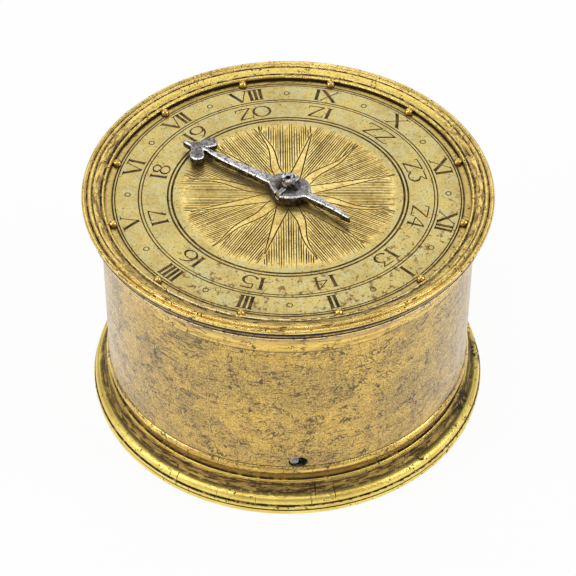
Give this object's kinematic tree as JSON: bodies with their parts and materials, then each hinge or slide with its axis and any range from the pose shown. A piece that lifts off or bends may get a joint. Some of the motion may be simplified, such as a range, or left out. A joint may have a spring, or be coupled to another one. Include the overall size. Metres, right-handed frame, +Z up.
{
  "type": "drum clock",
  "caption": "Low round table clock with a hinged drum case, a dial on top, touch pins, one hour hand, and a spring-driven movement with fusee and verge escapement.",
  "frame": {"origin": "centre of the underside of the base", "axes": "+Z up, -Y the front, where the catch shows; the hinge is at the back, +Y"},
  "size_m": [0.074, 0.074, 0.0487],
  "materials": {
    "case_brass": "worn gilding, satin, with dark tarnish in the grooves",
    "rim_brass": "worn gilding, satin, mottled on the sloping band",
    "dial_brass": "gilt, soft satin, engraved",
    "pin_brass": "worn smooth by touch",
    "hand_iron": "forged, pitted, brown on the sides",
    "steel": "satin",
    "spring_steel": "hardened, dark",
    "movement_brass": "filed and polished",
    "gut": "twisted, waxed"
  },
  "bodies": {
    "base": {"base_plate": "case_brass", "base_ring": "case_brass", "hinge_base_leaf": "case_brass", "hinge_pin": "steel"},
    "drum": {"drum_wall": "case_brass", "rim": "rim_brass", "dial": "dial_brass", "touch_pins": "pin_brass", "hinge_drum_leaf": "case_brass", "catch_rivets": "steel", "top_plate": "movement_brass", "back_plate": "movement_brass", "pillars": "movement_brass", "pillar_pins": "steel", "dial_feet": "movement_brass", "dial_foot_pins": "steel", "potence": "movement_brass", "cock": "movement_brass", "cock_pins": "steel", "barrel_arbor": "steel", "setup_ratchet": "steel", "setup_click": "steel", "gut_line": "gut"},
    "catch": {"catch_bolt": "steel"},
    "barrel": {"barrel": "movement_brass", "barrel_lid": "movement_brass", "mainspring": "spring_steel"},
    "great_wheel": {"great_wheel": "movement_brass", "report_pinion": "steel", "click": "steel", "click_rivet": "steel", "click_spring": "steel"},
    "fusee": {"fusee": "movement_brass", "fusee_arbor": "steel", "ratchet": "steel"},
    "second_wheel": {"second_wheel": "movement_brass", "second_arbor": "steel"},
    "contrate_wheel": {"contrate_wheel": "movement_brass", "contrate_arbor": "steel"},
    "crown_wheel": {"crown_wheel": "movement_brass", "crown_arbor": "steel"},
    "balance": {"verge": "steel", "foliot": "movement_brass"},
    "hour_wheel": {"hour_wheel": "movement_brass"},
    "hand": {"hour_arbor": "steel", "hour_hand": "hand_iron", "hand_pin": "steel", "friction_spring": "spring_steel"}
  },
  "joints": [
    {"name": "drum_open", "type": "hinge", "parent": "base", "child": "drum", "pos_m": [0, 0.0357, 0.0079], "axis": [-1, 0, 0], "range_deg": [0, 90]},
    {"name": "catch_slide", "type": "hinge", "parent": "drum", "child": "catch", "pos_m": [0, 0, 0.0106], "axis": [0, 0, 1], "range_deg": [0, 2.4]},
    {"name": "going", "type": "hinge", "parent": "drum", "child": "great_wheel", "pos_m": [-0.00804, 0.00958, 0.0337], "axis": [0, 0, 1], "continuous": true},
    {"name": "winding", "type": "hinge", "parent": "great_wheel", "child": "fusee", "pos_m": [-0.00804, 0.00958, 0.025], "axis": [0, 0, 1], "range_deg": [-2880, 0]},
    {"name": "barrel_turn", "type": "hinge", "parent": "drum", "child": "barrel", "pos_m": [-0.01003, -0.01324, 0.025], "axis": [0, 0, 1], "continuous": true},
    {"name": "second_turn", "type": "hinge", "parent": "drum", "child": "second_wheel", "pos_m": [0.00437, 0.01176, 0.0368], "axis": [0, 0, 1], "continuous": true},
    {"name": "contrate_turn", "type": "hinge", "parent": "drum", "child": "contrate_wheel", "pos_m": [0.01159, 0.00455, 0.027], "axis": [0, 0, 1], "continuous": true},
    {"name": "crown_turn", "type": "hinge", "parent": "drum", "child": "crown_wheel", "pos_m": [0.01454, -0.01219, 0.0295], "axis": [-0.1736, 0.9848, 0], "continuous": true},
    {"name": "hour_turn", "type": "hinge", "parent": "drum", "child": "hour_wheel", "pos_m": [0, 0, 0.0415], "axis": [0, 0, 1], "continuous": true},
    {"name": "hand_set", "type": "hinge", "parent": "hour_wheel", "child": "hand", "pos_m": [0, 0, 0.046], "axis": [0, 0, 1], "continuous": true},
    {"name": "balance_swing", "type": "hinge", "parent": "drum", "child": "balance", "pos_m": [0.01454, -0.01219, 0.025], "axis": [0, 0, 1], "range_deg": [-50, 50]}
  ],
  "couplings": [
    {"joint": "barrel_turn", "follows": "going", "ratio": 0.66},
    {"joint": "second_turn", "follows": "going", "ratio": -8},
    {"joint": "contrate_turn", "follows": "going", "ratio": 60},
    {"joint": "crown_turn", "follows": "going", "ratio": -360},
    {"joint": "hour_turn", "follows": "going", "ratio": -0.25}
  ]
}
